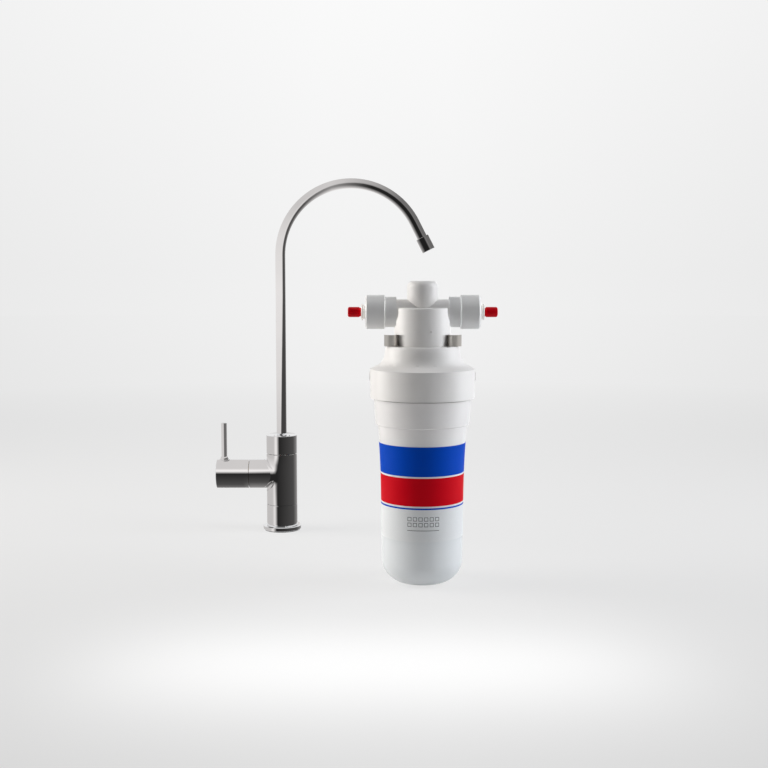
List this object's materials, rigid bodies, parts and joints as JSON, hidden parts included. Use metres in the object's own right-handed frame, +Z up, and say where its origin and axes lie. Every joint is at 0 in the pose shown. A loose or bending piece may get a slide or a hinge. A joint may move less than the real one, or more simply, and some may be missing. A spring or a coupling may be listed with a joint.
{
  "type": "water filter set",
  "caption": "Twist-in water filter cartridge in its wall head with push-fit ports, and a chrome gooseneck filter tap with a side lever.",
  "frame": {"origin": "centre of the flat foot of the filter cartridge", "axes": "+Z up along the cartridge's axis, +X towards the outlet port, the viewer of the picture at -Y; the tap stands behind and to the left on the same floor"},
  "size_m": [0.2573, 0.2595, 0.3445],
  "materials": {
    "white_moulding": "gloss",
    "shell_white": "gloss",
    "fitting_white": "satin",
    "collet_white": "satin",
    "inner_plastic": "satin",
    "plug_red": "gloss",
    "spring_steel": "satin",
    "screw_steel": "satin",
    "seal_rubber": "matte",
    "carbon": "matte",
    "felt": "matte",
    "label_white": "satin",
    "label_blue": "satin",
    "label_red": "satin",
    "chrome": "polished",
    "brass": "satin",
    "ceramic": "gloss"
  },
  "bodies": {
    "head_and_tap": {"head_body": "white_moulding", "lock_ledges": "white_moulding", "spool_retainer": "inner_plastic", "wall_clip": "spring_steel", "port_seals": "seal_rubber", "inlet_adaptor": "fitting_white", "inlet_nut": "fitting_white", "inlet_oring": "seal_rubber", "inlet_spacer": "inner_plastic", "outlet_adaptor": "fitting_white", "outlet_nut": "fitting_white", "outlet_oring": "seal_rubber", "outlet_spacer": "inner_plastic", "base_gasket": "seal_rubber", "base_flange": "chrome", "base_sleeve": "chrome", "tap_body": "chrome", "swivel_washer": "inner_plastic", "spout_keeper_screw": "screw_steel", "valve_housing": "brass", "gland_nut": "brass", "valve_stem_oring": "seal_rubber", "fixed_disc": "ceramic", "valve_seal": "seal_rubber"},
    "spool": {"shutoff_spool": "inner_plastic", "spool_orings": "seal_rubber"},
    "cartridge": {"cartridge_shell": "shell_white", "cartridge_top": "shell_white", "stem_orings": "seal_rubber", "carbon_block": "carbon", "prefilter_wrap": "felt", "core_tube": "inner_plastic", "top_end_cap": "inner_plastic", "bottom_end_cap": "inner_plastic", "block_seal": "seal_rubber", "label_panel": "label_white", "label_blue": "label_blue", "label_red": "label_red"},
    "inlet_collet": {"inlet_collet": "collet_white"},
    "outlet_collet": {"outlet_collet": "collet_white"},
    "inlet_plug": {"inlet_plug": "plug_red"},
    "outlet_plug": {"outlet_plug": "plug_red"},
    "spout": {"swivel_collar": "chrome", "spout_spigot": "brass", "spout_orings": "seal_rubber", "spout_tube": "chrome", "aerator_sleeve": "chrome", "aerator_insert": "fitting_white"},
    "lever": {"lever_barrel": "chrome", "lever_pin": "chrome", "lever_ferrule": "chrome", "lever_screw": "screw_steel", "valve_stem": "brass", "turning_disc": "ceramic"}
  },
  "joints": [
    {"name": "cartridge_twist", "type": "hinge", "parent": "head_and_tap", "child": "spool", "pos_m": [0, 0, 0.19], "axis": [0, 0, -1], "range_deg": [0, 90]},
    {"name": "cartridge_drop", "type": "slide", "parent": "spool", "child": "cartridge", "axis": [0, 0, -1], "range_m": [0, 0.009]},
    {"name": "inlet_collet_press", "type": "slide", "parent": "head_and_tap", "child": "inlet_collet", "axis": [1, 0, 0], "range_m": [0, 0.0015]},
    {"name": "outlet_collet_press", "type": "slide", "parent": "head_and_tap", "child": "outlet_collet", "axis": [-1, 0, 0], "range_m": [0, 0.0015]},
    {"name": "inlet_plug_pull", "type": "slide", "parent": "head_and_tap", "child": "inlet_plug", "axis": [-1, 0, 0], "range_m": [0, 0.025]},
    {"name": "outlet_plug_pull", "type": "slide", "parent": "head_and_tap", "child": "outlet_plug", "axis": [1, 0, 0], "range_m": [0, 0.025]},
    {"name": "spout_swivel", "type": "hinge", "parent": "head_and_tap", "child": "spout", "pos_m": [-0.1323, 0.198, 0.08], "axis": [0, 0, 1], "continuous": true},
    {"name": "lever_turn", "type": "hinge", "parent": "head_and_tap", "child": "lever", "pos_m": [-0.1323, 0.198, 0.0558], "axis": [1, 0, 0], "range_deg": [0, 90]}
  ],
  "couplings": [
    {"joint": "cartridge_drop", "follows": "cartridge_twist", "m_per_rad": 0.005729}
  ]
}
